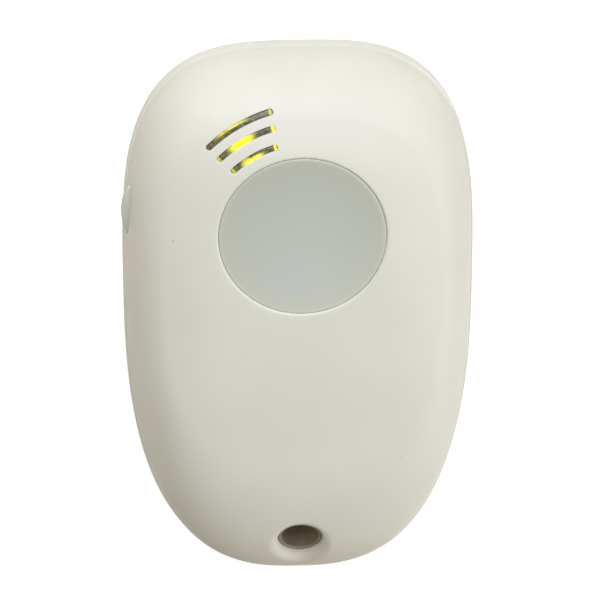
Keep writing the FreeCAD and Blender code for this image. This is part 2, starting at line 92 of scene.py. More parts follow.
class PendantCase(bpy.types.PropertyGroup):
    """Sizes of the two covers."""
    width: metres("Width", CASE_HIGH.x - CASE_LOW.x, "Widest part of the case")
    length: metres("Length", CASE_HIGH.y - CASE_LOW.y, "Case from end to end")
    height: metres("Height", FRONT_TOP, "Back to the crown of the front")
    widest_y: size("Widest line", 5, "Where the two half outlines meet")
    upper_power: FloatProperty(name="Upper power", description="Squareness of the upper end", default=3.2)
    lower_power: FloatProperty(name="Lower power", description="Squareness of the lower end", default=2.67)
    seam_z: size("Seam", 4, "Height of the joint between the covers")
    rim_ledge: size("Ledge", 0.25, "Step of the rear cover outside the front cover")
    wall: size("Wall", 1.6, "Wall of both covers")
    back_round: size("Back rounding", 2.6, "Rounding of the rear cover")
    falls: FloatVectorProperty(name="Falls", description="Reach of the turn at the sides, the upper and the lower end",
                               default=(4.2 * mm, 5.4 * mm, 18.2 * mm), size=3, unit="LENGTH", precision=5)
    inner_falls: FloatVectorProperty(name="Inner falls", description="The same on the inside of the front cover",
                                     default=(2 * mm, 1.8 * mm, 15.4 * mm), size=3, unit="LENGTH", precision=5)
    crown_rise: size("Crown", 3.5, "Rise of the front between the turns and the button")
    crown_flat: size("Crown flat", 8.15, "Radius at which the crown is level")
    seam_chamfer: size("Seam chamfer", 0.22, "Chamfer of the front cover's rim")
    tongue_inset: size("Tongue inset", 1.05, "Outline to the rear cover's tongue")
    tongue_thick: size("Tongue", 0.8, "Thickness of the tongue")
    tongue_height: size("Tongue height", 1.2, "Tongue above the seam")
    rebate_height: size("Rebate height", 1.75, "Rebate for tongue and seal above the seam")
    tongue_gap: size("Tongue gap", 0.1, "Play between tongue and rebate")
    columns: IntProperty(name="Columns", description="Points round the outline", default=336, min=48)


class PendantOpenings(bpy.types.PropertyGroup):
    """Sizes of the button opening, the lit arcs, the key opening and the lanyard hole."""
    opening_radius: size("Opening", 9.35, "Radius of the main button's opening")
    opening_round: size("Opening rounding", 0.3, "Rounding of the opening's rim")
    collar_thick: size("Collar", 1, "Wall of the collar under the opening")
    collar_depth: size("Collar depth", 2.1, "Collar below the ceiling")
    arc_radii: FloatVectorProperty(name="Arc radii", description="Radii of the arcs from the inside out",
                                   default=(11.03 * mm, 12.96 * mm, 14.63 * mm), size=3, unit="LENGTH", precision=5)
    arc_width: size("Arc width", 0.7, "Width of the slots")
    arc_round: size("Arc rounding", 0.12, "Rounding of the slots' rims")
    arc_middles: FloatVectorProperty(name="Arc middles", description="Directions of the arcs' middles, from +X",
                                     default=[math.radians(v) for v in (119.8, 119.6, 119.2)], size=3, unit="ROTATION")
    arc_halves: FloatVectorProperty(name="Arc half angles", description="Half of the angle that each arc spans",
                                    default=[math.radians(v) for v in (13.6, 14.8, 15.3)], size=3, unit="ROTATION")
    guide_recess: size("Guide recess", 0.2, "Top of the guide's ribs below the front surface")
    rib_gap: size("Rib gap", 0.04, "Play between the guide's ribs and the slots")
    key_gap: size("Key gap", 0.1, "Play round the side key")
    key_pad_margin: size("Key pad", 0.7, "Pad round the key's opening inside the wall")
    key_pad_x: size("Key pad face", 16.4, "Inner face of that pad from the centre line")
    sleeve_wall: size("Sleeve wall", 0.9, "Wall of the sleeve round the lanyard hole")
    sleeve_recess: size("Sleeve recess", 0.3, "Sleeve's end above the flat back")
    sleeve_gap: size("Sleeve gap", 0.08, "Play between the sleeve and the rear cover")
    # The liner's dark tone is painted shade of the hole.
    liner_wall: size("Liner wall", 0.4, "Wall of the dark liner in the hole")
    liner_gap: size("Liner gap", 0.02, "Play between the liner and the hole")
    flare: size("Flare", 1.1, "Rounding of the lanyard hole's front rim")
    back_flare: size("Back flare", 0.5, "Rounding of the lanyard hole's back rim")


class PendantKeys(bpy.types.PropertyGroup):
    """Sizes of the main button and the side key."""
    button_radius: size("Button radius", 9.335, "Radius of the main button's cap")
    button_dish: size("Dish", 1, "Depth of the cap's hollow")
    button_wall: size("Cap wall", 1.4, "Thickness of the cap")
    button_round: size("Cap rounding", 0.12, "Rounding of the cap's rim")
    button_skirt: size("Skirt", 1.3, "Wall of the cap's skirt")
    flange_thick: size("Flange", 0.8, "Thickness of the flange under the collar")
    pusher_radius: size("Pusher", 2.2, "Radius of the pusher on the switch")
    key_length: size("Key length", 6, "Side key along the case")
    key_height: size("Key height", 1, "Side key at its middle")
    key_drop: size("Key drop", 0.6, "Key's middle line below the middle of its packed solid")
    key_shift: size("Key shift", 0.3, "Key's middle nearer the upper end than that of its packed solid")
    key_set_back: size("Key set back", 0.18, "Key's face inside the face of its packed solid")
    key_face_radius: size("Key face", 6, "Radius of the key's bulging face")
    key_round: size("Key rounding", 0.2, "Rounding of the key's face")
    key_lip: size("Key lip", 0.4, "Lip that keeps the key in the wall")
    key_lip_thick: size("Key lip thickness", 0.7, "Thickness of that lip")


class PendantFixings(bpy.types.PropertyGroup):
    """Sizes of the screws' bosses, pillars and recesses and of the board's posts."""
    screw_x_upper: size("Upper screws x", 12.8, "Upper screws from the centre line")
    screw_y_upper: size("Upper screws y", 21, "Upper screws along the case")
    screw_x_lower: size("Lower screws x", 12, "Lower screws from the centre line")
    screw_y_lower: size("Lower screws y", -15, "Lower screws along the case")
    boss_radius: size("Boss", 2.2, "Radius of the front cover's bosses")
    pilot_radius: size("Pilot", 1.01, "Radius of the holes in the bosses")
    pilot_top: size("Pilot top", 8.2, "Height at which those holes end")
    pillar_radius: size("Pillar", 2.6, "Radius of the rear cover's pillars")
    through_radius: size("Screw hole", 1.05, "Radius of the holes in the pillars")
    recess_radius: size("Recess", 2.1, "Radius of the recesses for the screws' heads")
    recess_depth: size("Recess depth", 1.3, "Depth of those recesses")
    recess_bevel: size("Recess bevel", 0.12, "Bevel of the recesses' rims")
    post_radius: size("Post", 1.4, "Radius of the board's posts")
    post_top: size("Post top", 5.6, "Height of the board's posts")
    post_pilot: size("Post pilot", 0.71, "Radius of the holes in the posts")
    post_pilot_low: size("Post pilot end", 3.3, "Height at which those holes end")
    boss_wall: size("Sleeve boss", 1.2, "Wall of the rear cover's boss round the sleeve")
    boss_top: size("Sleeve boss top", 3.6, "Height of that boss")
    seat_radius: size("Seal seat", 4.3, "Radius of the seat for the sleeve's seal")
    seat_low: size("Seal seat floor", 2.9, "Height of that seat's floor")


class PendantFinish(bpy.types.PropertyGroup):
    """Colours of the finishes."""
    case: colour("Case", (0.735, 0.725, 0.635), "Satin off-white plastic")
    cap: colour("Cap", (0.522, 0.55, 0.495), "Frosted translucent grey")
    cap_edge: colour("Cap edge", (0.545, 0.555, 0.47), "Frosted plastic over the skirt")
    # Painted highlight, partly translucency: the lighter tone of the cap's rounded rim.
    cap_rim_highlight: colour("Cap rim", (0.64, 0.64, 0.56), "Thin outer rim of the cap")
    # Painted light: the yellow and the olive tones stand in for the LED's light through the guide; the dim tone is the
    # guide's own.
    lit: colour("Lit guide", (1.0, 0.95, 0.0), "Light in the arcs")
    dim: colour("Dim guide", (0.07, 0.055, 0.03), "Unlit part of the guide")
    olive: colour("Olive guide", (0.2, 0.19, 0.06), "Faintly lit part of the guide")
    # Painted shade: the liner's dark brown stands in for the shade inside the lanyard hole.
    liner: colour("Liner", (0.26, 0.225, 0.155), "Dark brown rubber, lit from above")


class PendantStage(bpy.types.PropertyGroup):
    """Camera, lamps and floor."""
    tilt: FloatProperty(name="Tilt", description="Camera's lean from the vertical towards the upper end",
                        default=math.radians(24.5), subtype="ANGLE")
    turn: FloatProperty(name="Turn", description="Camera's lean towards the left side",
                        default=math.radians(2.85), subtype="ANGLE")
    roll: FloatProperty(name="Roll", description="Camera's roll", default=math.radians(0.05), subtype="ANGLE")
    distance: metres("Distance", 0.45, "Camera to target")
    lens: FloatProperty(name="Lens", description="Focal length in millimetres", default=236.5)
    target: FloatVectorProperty(name="Target", description="Point that the camera measures from",
                                default=(0, 0, 0.007), subtype="XYZ")
    aim_up: size("Aim up", 2.67, "Camera's centre above the target in the picture")
    aim_right: size("Aim right", 0.09, "Camera's centre right of the target in the picture")


# Numpy surfaces

def outline(across, y_top, y_low, y_wide, p_top, p_low, columns):
    """Points at even distances round two half superellipses that share the widest line. In the direction t
    a point lies at (across cos t, along sin t) / (|cos t|^p + |sin t|^p)^(1/p)."""
    angle = math.pi / 2 + np.linspace(0, 2 * math.pi, 1441)
    c, s = np.cos(angle), np.sin(angle)
    upper = s >= 0
    power = np.where(upper, p_top, p_low)
    along = np.where(upper, y_top - y_wide, y_wide - y_low)
    reach = (np.abs(c) ** power + np.abs(s) ** power) ** (-1 / power)
    x, y = across * c * reach, y_wide + along * s * reach
    run = np.concatenate([[0], np.cumsum(np.hypot(np.diff(x), np.diff(y)))])
    want = run[-1] * np.arange(columns) / columns
    return np.stack([np.interp(want, run, x), np.interp(want, run, y)], axis=-1)


def halves(y, y_top, y_low, y_wide, p_top, p_low):
    """Power and length of the half outline that each y lies in."""
    upper = y >= y_wide
    return np.where(upper, p_top, p_low), np.where(upper, y_top - y_wide, y_wide - y_low)


class Dome:
    """Crowned surface over the outline. Stage u from 0 to 1 turns along quarter ellipses, in reach by
    fall (1 - cos) and in height by sin, and from 1 to 2 runs level to a circle round the button."""

    def __init__(self, case, button_y, inset, z_high, falls):
        self.across = case.width / 2 - inset
        self.y_top, self.y_low = case.length / 2 - inset, -case.length / 2 + inset
        self.falls = falls
        self.z_low, self.z_high = case.seam_z, z_high
        self.crown_rise, self.crown_flat, self.button_y = case.crown_rise, case.crown_flat, button_y
        self.y_wide, self.p_top, self.p_low = case.widest_y, case.upper_power, case.lower_power

    def stage(self, u):
        """Outline values and height at stage u."""
        u = np.asarray(u, float)
        angle = math.pi / 2 * np.minimum(u, 1)
        w = np.maximum(u - 1, 0)
        bent = 1 - np.cos(angle)
        ways = (self.across - self.crown_flat, self.y_top - self.button_y - self.crown_flat,
                self.button_y - self.crown_flat - self.y_low)
        side = self.falls[0] * bent + (ways[0] - self.falls[0]) * w
        top, low = (self.reach(side, ways[0], self.falls[i], ways[i]) for i in (1, 2))
        p = side / ways[0]
        turn_rise = self.z_high - self.crown_rise - self.z_low
        z = self.z_low + turn_rise * np.sin(angle) + self.crown_rise * (1 - (1 - p) ** 2)
        blend = p * p
        return (self.across - side, self.y_top - top, self.y_low + low,
                self.y_wide + (self.button_y - self.y_wide) * blend,
                self.p_top + (2 - self.p_top) * blend, self.p_low + (2 - self.p_low) * blend, z)

    def reach(self, side, side_way, fall, way):
        """Reach at an end for a reach at the sides: two straight runs that meet where the turn ends, joined by
        a smooth bend, the mean of x and sqrt(x^2 + soft^2)."""
        f, soft = self.falls[0], 1.2 * mm
        bend = (side - f + np.sqrt((side - f) ** 2 + soft ** 2)) / 2
        start = (-f + math.hypot(f, soft)) / 2
        rest = (side_way - f + math.hypot(side_way - f, soft)) / 2 - (side_way - f)
        bend = bend - start * (1 - side / side_way) - rest * side / side_way
        steep, flat = fall / f, (way - fall) / (side_way - f)
        return steep * side - (steep - flat) * bend

    def rings(self, stages, columns):
        """Grid of points, one row a stage."""
        rows = []
        for u in stages:
            *shape, z = self.stage(u)
            flat = outline(*shape, columns)
            rows.append(np.column_stack([flat, np.full(columns, z)]))
        return np.stack(rows)

    def height(self, x, y):
        """Height of the surface over points: the stage at which the outline meets each, by halving."""
        low, high = np.zeros(np.shape(x)), np.full(np.shape(x), 2.0)
        for _ in range(40):
            u = (low + high) / 2
            across, *ends, _z = self.stage(u)
            power, along = halves(y, *ends)
            outside = np.abs(x / across) ** power + np.abs((y - ends[2]) / along) ** power > 1
            high, low = np.where(outside, u, high), np.where(outside, low, u)
        return self.stage((low + high) / 2)[-1]

    def stage_at(self, z):
        """Stage of the turn at a height."""
        table = np.linspace(0, 1, 400)
        return np.interp(z, self.stage(table)[-1], table)

    def side_x(self, y, z):
        """Distance of the side wall from the centre line at points of it."""
        across, *ends, _z = self.stage(self.stage_at(z))
        power, along = halves(y, *ends)
        return across * (1 - np.abs((y - ends[2]) / along) ** power) ** (1 / power)


def ring_faces(rows, columns, start=0, closed=False):
    """Four-sided faces between neighbouring rows of a grid whose columns go round."""
    row = np.arange(rows if closed else rows - 1)[:, None]
    column = np.arange(columns)[None, :]
    after, beside = (row + 1) % rows, (column + 1) % columns
    corners = [row * columns + column, row * columns + beside, after * columns + beside, after * columns + column]
    return (start + np.stack(corners, axis=-1)).reshape(-1, 4).tolist()


def solid(rows, closed=False):
    """Points and faces of a closed piece from a grid that goes round: its ends get flat caps, or meet."""
    count, columns = rows.shape[:2]
    faces = ring_faces(count, columns, closed=closed)
    if not closed:
        faces += [list(range(columns))[::-1], list(range((count - 1) * columns, count * columns))]
    return rows.reshape(-1, 3), faces


def joined(pieces):
    """Several (points, faces) as one."""
    points, faces, start = [], [], 0
    for some_points, some_faces in pieces:
        points.append(some_points)
        faces += [[start + i for i in face] for face in some_faces]
        start += len(some_points)
    return np.concatenate(points), faces


def turned(profile, x=0.0, y=0.0, columns=64):
    """Grid from (radius, height) points carried round an upright axis: (x + r cos t, y + r sin t, z)."""
    r, z = np.asarray(profile, float).T
    t = 2 * math.pi * np.arange(columns) / columns
    return np.stack([x + r[:, None] * np.cos(t), y + r[:, None] * np.sin(t),
                     np.broadcast_to(z[:, None], (len(r), columns))], axis=-1)


def corner(centre_r, centre_z, radius, start, end, steps):
    """Points (radius, height) on an arc of a profile, angles in degrees."""
    t = np.radians(np.linspace(start, end, steps + 1))
    return np.column_stack([centre_r + radius * np.cos(t), centre_z + radius * np.sin(t)])


def capsule(half_length, half_height, columns):
    """Points and outward directions round a long rounded shape: two half circles and two straight runs,
    at even distances."""
    flat = half_length - half_height
    total = 4 * flat + 2 * math.pi * half_height
    s = total * np.arange(columns) / columns
    turn = math.pi * half_height
    first, second, third = 2 * flat, 2 * flat + turn, 4 * flat + turn
    a = np.where(s < second, math.pi / 2 - (s - first) / half_height, -math.pi / 2 - (s - third) / half_height)
    a = np.where(s < first, math.pi / 2, np.where((s >= second) & (s < third), -math.pi / 2, a))
    along = np.where(s < first, -flat + s, np.where(s < second, flat, np.where(s < third, flat - (s - second), -flat)))
    ways = np.column_stack([np.cos(a), np.sin(a)])
    return np.column_stack([along, np.zeros(columns)]) + half_height * ways, ways


def oval(half_length, half_height, columns):
    """Points and outward directions round an ellipse: (a cos t, b sin t), with its normals along
    (b cos t, a sin t)."""
    t = 2 * math.pi * np.arange(columns) / columns
    ways = np.column_stack([half_height * np.cos(t), half_length * np.sin(t)])
    ways /= np.linalg.norm(ways, axis=1)[:, None]
    return np.column_stack([half_length * np.cos(t), half_height * np.sin(t)]), ways


def new_piece(name, points, faces):
    """Object with that mesh, its faces outwards."""
    mesh = bpy.data.meshes.new(name)
    mesh.from_pydata(points.tolist(), [], faces)
    work = bmesh.new()
    work.from_mesh(mesh)
    bmesh.ops.recalc_face_normals(work, faces=work.faces)
    work.to_mesh(mesh)
    work.free()
    piece = bpy.data.objects.new(name, mesh)
    bpy.context.scene.collection.objects.link(piece)
    return piece


def combine(piece, points, faces, operation):
    """Adds a solid to a piece or cuts it away."""
    tool = new_piece("tool", points, faces)
    modifier = piece.modifiers.new("tool", "BOOLEAN")
    modifier.operation, modifier.solver, modifier.object = operation, "EXACT", tool
    bpy.context.view_layer.update()
    result = bpy.data.meshes.new_from_object(piece.evaluated_get(bpy.context.evaluated_depsgraph_get()))
    piece.modifiers.clear()
    piece.data = result
    result.name = piece.name
    bpy.data.objects.remove(tool)


def finish_piece(piece, body, material, nodes, sharp=32):
    """Smooth faces with sharp edges past an angle, the material, and the piece's place among the bodies."""
    mesh = piece.data
    mesh.materials.clear()
    mesh.materials.append(material)
    mesh.polygons.foreach_set("material_index", np.zeros(len(mesh.polygons), int))
    mesh.polygons.foreach_set("use_smooth", np.ones(len(mesh.polygons), bool))
    mesh.set_sharp_from_angle(angle=math.radians(sharp))
    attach(piece, body)
    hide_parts(*nodes)


# Materials

class Nodes:
    """Builds the nodes of a new material, or of a world, in a few words."""

    def __init__(self, name, world=None):
        self.owner = world or bpy.data.materials.new(name)
        self.owner.use_nodes = True
        self.tree = self.owner.node_tree
        self.tree.nodes.clear()
        self.output = self.tree.nodes.new("ShaderNodeOutputWorld" if world else "ShaderNodeOutputMaterial")
        if not world:
            self.place = self.tree.nodes.new("ShaderNodeTexCoord").outputs["Object"]

    def put(self, node, socket, value):
        """Sets a socket or links an output to it."""
        target = node.inputs[socket]
        if isinstance(value, bpy.types.NodeSocket):
            self.tree.links.new(value, target)
        else:
            target.default_value = value

    def add(self, kind, inputs=(), **settings):
        """New node with its settings and inputs."""
        node = self.tree.nodes.new("ShaderNode" + kind)
        for key, value in settings.items():
            setattr(node, key, value)
        for socket, value in dict(inputs).items():
            self.put(node, socket, value)
        return node

    def math(self, operation, a, b=0.0, clamp=False):
        """Result of a sum on two values."""
        return self.add("Math", {0: a, 1: b}, operation=operation, use_clamp=clamp).outputs[0]

    def noise(self, scale, detail=2.0, rough=0.5, place=None):
        """Noise value, with its scale in cells a metre."""
        return self.add("TexNoise", {"Vector": place or self.place, "Scale": scale, "Detail": detail,
                                     "Roughness": rough}).outputs["Fac"]

    def ramp(self, value, low, high, to_low=0.0, to_high=1.0):
        """Value carried from one range to another, held at its ends and smoothed."""
        return self.add("MapRange", {"Value": value, "From Min": low, "From Max": high, "To Min": to_low,
                                     "To Max": to_high}, interpolation_type="SMOOTHSTEP").outputs["Result"]

    def mix(self, amount, a, b, blend="MIX"):
        """Two colours mixed."""
        node = self.add("Mix", data_type="RGBA", blend_type=blend)
        for name, value in (("Factor_Float", amount), ("A_Color", a), ("B_Color", b)):
            socket = next(s for s in node.inputs if s.identifier == name)
            if isinstance(value, bpy.types.NodeSocket):
                self.tree.links.new(value, socket)
            else:
                socket.default_value = value
        return next(s for s in node.outputs if s.identifier == "Result_Color")

    def tones(self, amount, tone, low, high):
        """A darker and a lighter shade of a tone mixed."""
        return self.mix(amount, rgba([v * low for v in tone]), rgba([min(1, v * high) for v in tone]))

    def bump(self, height, strength, distance):
        """Normal from a height."""
        return self.add("Bump", {"Height": height, "Strength": strength, "Distance": distance}).outputs["Normal"]

    def seen(self):
        """1 for the camera's, glossy and see-through rays, else 0."""
        path = self.add("LightPath")
        return self.math("MAXIMUM", path.outputs["Is Camera Ray"],
                         self.math("MAXIMUM", path.outputs["Is Glossy Ray"], path.outputs["Is Transmission Ray"]))

    def show(self, shader):
        """Makes a shader the output and gives the material or world."""
        self.tree.links.new(shader.outputs[0], self.output.inputs["Surface"])
        return self.owner

    def surface(self, **inputs):
        """Principled shader as the output."""
        return self.show(self.add("BsdfPrincipled", {key.replace("_", " "): value for key, value in inputs.items()}))


def rgba(values):
    """Colour with full opacity."""
    return (*values, 1.0)


def case_material():
    """Satin plastic with a fine moulded grain, faint cloudiness, a few dark specks and painted warm shade at the lower
    end.
    """
    finish = bpy.context.scene.pendant_finish
    n = Nodes("case_satin")
    base = n.tones(n.ramp(n.noise(90, 3), 0.35, 0.65), finish.case, 0.985, 1.012)
    for place, radius, depth in (((-14.37, 13.6, 13.93), 0.18, 0.75), ((-15.81, -3.2, 13.21), 0.13, 0.35),
                                 ((-17.4, -4.89, 11.69), 0.16, 0.35), ((11.37, -14.32, 13.01), 0.14, 0.3),
                                 ((3.93, -17.3, 13.1), 0.12, 0.3), ((17.2, 4.6, 13.05), 0.16, 0.3)):
        away = n.add("VectorMath", {0: n.place, 1: [v * mm for v in place]}, operation="DISTANCE").outputs["Value"]
        base = n.mix(n.ramp(away, radius * mm, 0.3 * radius * mm, 0.0, depth), base, rgba((0.2, 0.17, 0.12)))
    parts = n.add("SeparateXYZ", {"Vector": n.place})
    # Painted shade: warmer and darker towards the lower end and low on the case.
    painted_shade_low_end = n.math("MULTIPLY", n.ramp(parts.outputs["Y"], -24 * mm, -32 * mm),
                  n.ramp(parts.outputs["Z"], 12 * mm, 7 * mm))
    base = n.mix(n.math("MULTIPLY", painted_shade_low_end, 0.35), base, rgba((0.4, 0.33, 0.2)))
    normal = n.bump(n.noise(5200, 2), 0.12, 0.00006)
    rough = n.ramp(n.noise(400, 2), 0.3, 0.7, 0.54, 0.62)
    return n.surface(Base_Color=base, Roughness=rough, Normal=normal, IOR=1.45)


def cap_material(centre_y):
    """Frosted translucent plastic, greyer over the hollow inside, creamier over the skirt, lighter at the rim with a
    painted highlight and partly its translucency, and darker on the left with painted shade.
    """
    finish = bpy.context.scene.pendant_finish
    keys = bpy.context.scene.pendant_keys
    n = Nodes("cap_frosted")
    moved = n.add("Mapping", {"Vector": n.place, "Location": (0, -centre_y, 0)}, vector_type="POINT").outputs[0]
    parts = n.add("SeparateXYZ", {"Vector": moved})
    away = n.math("SQRT", n.math("ADD", n.math("POWER", parts.outputs["X"], 2.0),
                                 n.math("POWER", parts.outputs["Y"], 2.0)))
    ring = n.ramp(away, keys.button_radius - 2.6 * mm, keys.button_radius - 1.1 * mm)
    gate = n.ramp(away, 1.1 * mm, 0.2 * mm, 0.0, 0.7)
    cloud = n.ramp(n.noise(260, 4, 0.6), 0.3, 0.7, 0.0, 0.3)
    amount = n.math("ADD", n.math("ADD", ring, gate), cloud, clamp=True)
    base = n.mix(amount, rgba(finish.cap), rgba(finish.cap_edge))
    # Lighter thin rim: painted highlight of the rounded rim, partly the plastic's translucency.
    base = n.mix(n.ramp(away, keys.button_radius - 0.6 * mm, keys.button_radius - 0.1 * mm, 0.0, 0.6), base,
                 rgba(finish.cap_rim_highlight))
    # Painted shade: the cap darker towards the left side.
    painted_shade_left = n.ramp(parts.outputs["X"], 4 * mm, -11 * mm, 0.0, 0.2)
    base = n.mix(painted_shade_left, base, rgba((0.25, 0.25, 0.2)))
    grain = n.bump(n.noise(4200, 3), 0.1, 0.00006)
    return n.surface(Base_Color=base, Roughness=0.4, Normal=grain, IOR=1.5, Subsurface_Weight=0.15,
                     Subsurface_Radius=(0.0012, 0.0012, 0.001), Subsurface_Scale=1.0)


def key_material():
    """Frosted plastic of the side key."""
    finish = bpy.context.scene.pendant_finish
    n = Nodes("key_frosted")
    base = n.mix(n.ramp(n.noise(420, 3), 0.35, 0.65), rgba(finish.cap), rgba(finish.cap_edge))
    return n.surface(Base_Color=base, Roughness=0.4, Normal=n.bump(n.noise(4200, 3), 0.1, 0.00006), IOR=1.5)


def guide_material():
    """Clear guide, dark olive, with yellow patches that glow by emission: painted light standing in for the LED
    beneath, placed by its glow attribute.
    """
    finish = bpy.context.scene.pendant_finish
    n = Nodes("guide_painted_glow")
    glow = n.add("Attribute", attribute_name="glow").outputs["Fac"]
    # Painted glow: yellow colour and emission where the glow attribute is high.
    painted_glow = n.math("MULTIPLY", glow, n.ramp(n.noise(1500, 2), 0.3, 0.5, 0.65, 1.0), clamp=True)
    # Dark guide tone mottled with olive, the olive a faint painted glow.
    mottled = n.mix(n.ramp(n.noise(2600, 4, 0.7), 0.42, 0.62), rgba(finish.dim), rgba(finish.olive))
    base = n.mix(painted_glow, mottled, rgba(finish.lit))
    return n.surface(Base_Color=base, Roughness=0.2, IOR=1.49, Emission_Color=base,
                     Emission_Strength=n.math("MULTIPLY", painted_glow, 0.9))


def rubber_material(name, tone, painted_light_below=None):
    """Matt rubber with a fine powdery grain, and paler below a height where one is given: painted light that lifts the
    shade low down in the lanyard hole.
    """
    n = Nodes(name)
    base = n.tones(n.noise(900, 3), tone, 0.85, 1.15)
    if painted_light_below is not None:
        height = n.add("SeparateXYZ", {"Vector": n.place}).outputs["Z"]
        # Painted light: paler low down, lifting the shade there.
        base = n.mix(n.ramp(height, painted_light_below + 2.5 * mm, painted_light_below - 2.5 * mm), base, rgba([min(1, v * 2.4) for v in tone]))
    return n.surface(Base_Color=base, Roughness=0.75, Normal=n.bump(n.noise(7000, 2), 0.15, 0.00005), IOR=1.5)


def metal_material(name, tone, roughness, stretch):
    """Metal with fine drawn lines along one axis."""
    n = Nodes(name)
    drawn = n.add("Mapping", {"Vector": n.place, "Scale": stretch}, vector_type="POINT").outputs[0]
    lines = n.noise(2500, 3, place=drawn)
    base = n.tones(lines, tone, 0.9, 1.08)
    rough = n.ramp(lines, 0.2, 0.8, roughness - 0.06, roughness + 0.08)
    return n.surface(Base_Color=base, Metallic=1.0, Roughness=rough, Normal=n.bump(lines, 0.08, 0.00003))


def moulded_material(name, tone, roughness):
    """Moulded plastic or fired ceramic with a light grain."""
    n = Nodes(name)
    base = n.tones(n.noise(700, 3), tone, 0.9, 1.1)
    return n.surface(Base_Color=base, Roughness=roughness, Normal=n.bump(n.noise(6000, 2), 0.1, 0.00004), IOR=1.5)


def board_material():
    """Green lacquer over a laminate, with paler copper runs showing through on a half-millimetre raster."""
    n = Nodes("board_lacquer")
    bricks = n.add("TexBrick", {"Vector": n.place, "Scale": 260.0, "Mortar Size": 0.012, "Mortar Smooth": 0.3,
                                "Color1": rgba((0.012, 0.11, 0.035)), "Color2": rgba((0.02, 0.15, 0.05)),
                                "Mortar": rgba((0.07, 0.26, 0.09)), "Brick Width": 0.9, "Row Height": 0.35})
    runs = n.bump(bricks.outputs["Fac"], 0.3, 0.00004)
    return n.surface(Base_Color=bricks.outputs["Color"], Roughness=0.3, Normal=runs, IOR=1.5)


# Operators

class PENDANT_OT_front_cover(bpy.types.Operator):
    """Make the crowned front cover with its openings."""
    bl_idname = "pendant.front_cover"
    bl_label = "Front cover"

    def execute(self, context):
        case, holes, fix = context.scene.pendant_case, context.scene.pendant_openings, context.scene.pendant_fixings
        button_y = button_centre().y
        outer = Dome(case, button_y, case.rim_ledge, case.height, case.falls)
        inner = Dome(case, button_y, case.rim_ledge + case.wall, case.height - case.wall, case.inner_falls)
        rows = front_rows(case, holes, outer, inner, button_y)
        cover = new_piece("front_shell", *solid(rows, closed=True))
        combine(cover, *joined(front_additions(case, holes, fix, outer)), "UNION")
        combine(cover, *joined(front_cuts(case, holes, fix, outer)), "DIFFERENCE")
        finish_piece(cover, "root", case_finish(), ["front_cover"])
        return {"FINISHED"}


def button_centre():
    """Centre of the main button's box."""
    return (BUTTON_LOW + BUTTON_HIGH) / 2


def key_centre():
    """Middle of the side key."""
    keys = bpy.context.scene.pendant_keys
    return (KEY_LOW + KEY_HIGH) / 2 + Vector((0, keys.key_shift, -keys.key_drop))


def case_finish():
    """The case's material, made once for both covers."""
    return bpy.data.materials.get("case_satin") or case_material()


def level_ring(points, z):
    """Outline points as a row at one height."""
    return np.column_stack([points, np.full(len(points), z)])[None]


def case_ring(case, inset, z):
    """The case's outline, set in, as a row at one height."""
    half = case.length / 2 - inset
    flat = outline(case.width / 2 - inset, half, -half, case.widest_y, case.upper_power, case.lower_power, case.columns)
    return level_ring(flat, z)


def front_rows(case, holes, outer, inner, button_y):
    """The shell as one grid that closes on itself: up the outside, over the crown to the opening, down its
    collar, back under the ceiling and down the inside to the rebate at the seam."""
    columns = case.columns
    t = math.pi / 2 + 2 * math.pi * np.arange(columns) / columns

    def circle(radius):
        return np.column_stack([radius * np.cos(t), button_y + radius * np.sin(t)])

    def over(dome, ring_from, ring_to, amounts, z_offset=0.0):
        flat = ring_from + (ring_to - ring_from) * np.asarray(amounts)[:, None, None]
        return np.concatenate([flat, dome.height(flat[..., 0], flat[..., 1])[..., None] + z_offset], axis=-1)

    turn = outer.rings(np.linspace(outer.stage_at(case.seam_z + case.seam_chamfer), 1, 60), columns)
    rim = holes.opening_radius + holes.opening_round
    crown = over(outer, turn[-1, :, :2], circle(rim), np.linspace(0, 1, 34)[1:])
    rim_z = crown[-1, :, 2:]
    a = np.radians(np.linspace(90, 180, 7)[1:])
    rounding = np.stack([np.column_stack([circle(rim + holes.opening_round * math.cos(b)),
                                          rim_z - holes.opening_round * (1 - math.sin(b))]) for b in a])
    collar_z = case.height - case.wall - holes.collar_depth
    collar_out = circle(holes.opening_radius + holes.collar_thick)
    ceiling_z = inner.height(*collar_out.T).min()
    under = over(inner, collar_out, inner.rings([1.0], columns)[0, :, :2], np.linspace(0, 1, 12))
    rebate_z = case.seam_z + case.rebate_height
    inside = inner.rings(np.linspace(1, inner.stage_at(rebate_z), 24)[1:], columns)
    rebate_inset = case.tongue_inset - case.tongue_gap
    return np.concatenate([
        case_ring(case, case.rim_ledge + case.seam_chamfer, case.seam_z), turn, crown, rounding,
        level_ring(circle(holes.opening_radius), (case.height + collar_z) / 2),
        level_ring(circle(holes.opening_radius), collar_z), level_ring(collar_out, collar_z),
        level_ring(collar_out, (collar_z + ceiling_z) / 2), under, inside,
        case_ring(case, rebate_inset, rebate_z), case_ring(case, rebate_inset, case.seam_z)])


def follow_top(dome, x, y, radius, depth, columns=48):
    """Rows of a cap that keeps a depth below a surface, from its rim inwards."""
    flat = turned([(radius * f, 0.0) for f in (1.0, 0.75, 0.5, 0.25, 0.05)], x, y, columns)
    flat[..., 2] = dome.height(flat[..., 0], flat[..., 1]) - depth
    return flat


def standing(dome, x, y, radius, z_low, depth):
    """Round solid from a height up into the wall under a surface."""
    low = turned([(radius, z_low)], x, y, 48)
    return solid(np.concatenate([low, follow_top(dome, x, y, radius, depth)]))


def screw_places(fix):
    """The four screws' places."""
    return [(sign * x, y) for x, y in ((fix.screw_x_upper, fix.screw_y_upper), (fix.screw_x_lower, fix.screw_y_lower))
            for sign in (1, -1)]


